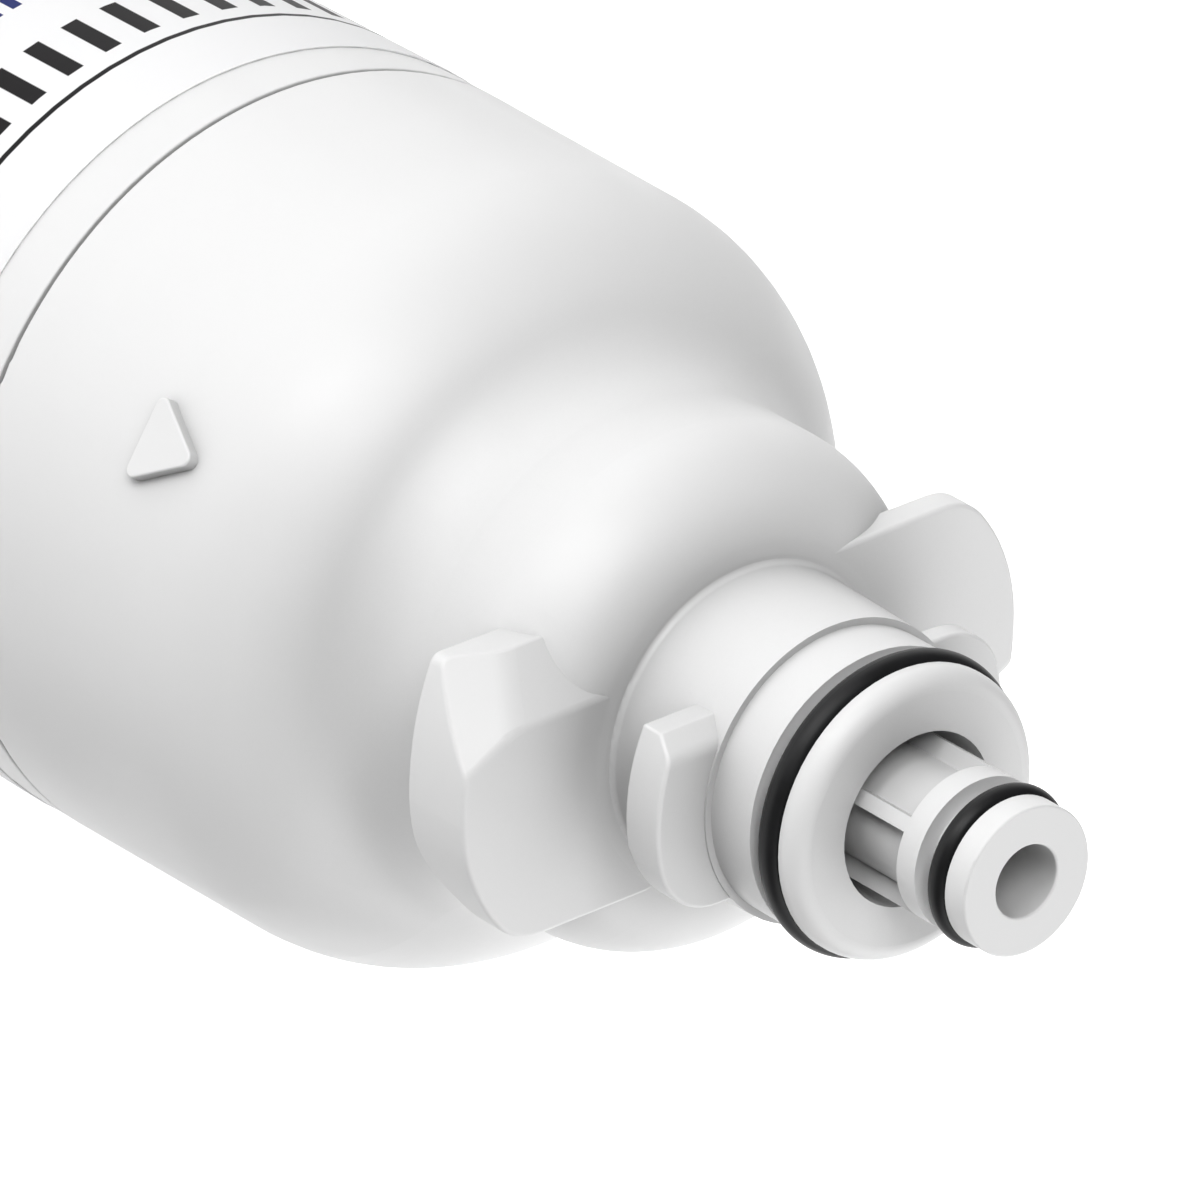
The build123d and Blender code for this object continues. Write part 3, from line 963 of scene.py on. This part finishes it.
@dataclass
class Lamp:
    """One soft disc lamp aimed at the cartridge's head, in degrees, metres and watts."""

    name: str
    azimuth: float
    elevation: float
    power: float
    distance: float = 1.6
    size: float = 1.2

    def hang(self, target: Vector) -> None:
        """Hangs the lamp.

        Args:
            target: The point that it is aimed at.
        """
        turn, lift = math.radians(self.azimuth), math.radians(self.elevation)
        way = Vector((math.cos(turn) * math.cos(lift), math.sin(turn) * math.cos(lift), math.sin(lift)))
        light = bpy.data.lights.new(self.name, "AREA")
        light.shape = "DISK"
        light.size = self.size
        light.energy = self.power
        lamp = bpy.data.objects.new(self.name, light)
        lamp.location = target + way * self.distance
        lamp.rotation_euler = (-way).to_track_quat("-Z", "Y").to_euler()
        lamp.visible_camera = False
        bpy.context.scene.collection.objects.link(lamp)
        log.info("lamp %s at azimuth %.0f and elevation %.0f", self.name, self.azimuth, self.elevation)


@dataclass
class Studio:
    """Floor, room, lamps and camera."""

    head: Point = (0.0, 0.0, 0.2)
    floor_size: float = 12.0
    floor_colour: Colour = (0.86, 0.86, 0.86)
    floor_glow: float = 0.6
    room_colour: Colour = (1.0, 1.0, 1.0)
    camera_at: Point = (-0.094834, -0.836888, 1.003293)
    camera_turn: Point = (-27.133541, -38.797248, 123.001471)
    lens: float = 423.8777
    sensor_width: float = 36.0
    sight: Span = (0.05, 30.0)
    lamps: tuple[Lamp, ...] = (
        Lamp("low_key", azimuth=-116.0, elevation=8.0, power=8.1, distance=1.4, size=0.7),
        Lamp("high_key", azimuth=-122.0, elevation=38.0, power=9.3, distance=1.4, size=0.7),
        Lamp("left_key", azimuth=-132.0, elevation=15.0, power=1.4, distance=1.4, size=0.7),
        Lamp("low_side", azimuth=25.0, elevation=20.0, power=3.8),
        Lamp("high_side", azimuth=25.0, elevation=45.0, power=5.7),
        Lamp("low_back", azimuth=60.0, elevation=20.0, power=10.5),
        Lamp("left_back", azimuth=95.0, elevation=25.0, power=6.8),
        Lamp("top", azimuth=60.0, elevation=75.0, power=4.6),
    )

    def lay_floor(self) -> None:
        """Lays a pale floor that the camera sees as white outside the shadow."""
        bpy.ops.object.select_all(action="DESELECT")
        bpy.ops.mesh.primitive_plane_add(size=self.floor_size)
        floor = bpy.context.object
        floor.name = "floor"
        material = bpy.data.materials.new("floor")
        material.use_nodes = True
        bench = Bench(material.node_tree)
        matt = bench.add("ShaderNodeBsdfDiffuse")
        matt.inputs["Color"].default_value = (*self.floor_colour, 1.0)
        glow = bench.add("ShaderNodeEmission")
        seen = bench.rays("Is Camera Ray", "Is Glossy Ray", "Is Transmission Ray")
        bench.wire(bench.sum(Maths.MULTIPLY, seen, self.floor_glow), glow.inputs["Strength"])
        both = bench.add("ShaderNodeAddShader")
        bench.wire(matt.outputs[0], both.inputs[0])
        bench.wire(glow.outputs[0], both.inputs[1])
        leave = bench.add("ShaderNodeOutputMaterial")
        bench.wire(both.outputs[0], leave.inputs["Surface"])
        floor.data.materials.append(material)

    def set_room(self) -> None:
        """Makes the room white to the camera, with no light of its own on the cartridge."""
        world = bpy.data.worlds.new("room")
        bpy.context.scene.world = world
        world.use_nodes = True
        bench = Bench(world.node_tree)
        even = bench.add("ShaderNodeBackground")
        even.inputs["Color"].default_value = (*self.room_colour, 1.0)
        bench.wire(bench.rays("Is Camera Ray", "Is Transmission Ray"), even.inputs["Strength"])
        leave = bench.add("ShaderNodeOutputWorld")
        bench.wire(even.outputs[0], leave.inputs["Surface"])

    def set_camera(self) -> None:
        """Puts the camera at the photograph's viewing angle."""
        data = bpy.data.cameras.new("camera")
        data.lens = self.lens
        data.sensor_width = self.sensor_width
        data.clip_start, data.clip_end = self.sight
        camera = bpy.data.objects.new("camera", data)
        camera.location = self.camera_at
        camera.rotation_euler = Euler([math.radians(angle) for angle in self.camera_turn], "XYZ")
        bpy.context.scene.collection.objects.link(camera)
        bpy.context.scene.camera = camera

    def build(self) -> None:
        """Builds floor, room, lamps and camera."""
        bpy.context.scene.view_settings.view_transform = "Standard"
        self.lay_floor()
        self.set_room()
        for lamp in self.lamps:
            lamp.hang(Vector(self.head))
        self.set_camera()


def main() -> None:
    """Builds the finishes, dresses each sub-assembly and sets the studio up."""
    logging.basicConfig(level=logging.INFO, format="%(name)s: %(message)s")
    effects = Effects()
    Shell().dress(effects)
    WrapLabel().build(effects)
    Seals().dress(effects)
    FilterPack().dress(effects)
    Studio().build()


if __name__ == "__main__":
    main()
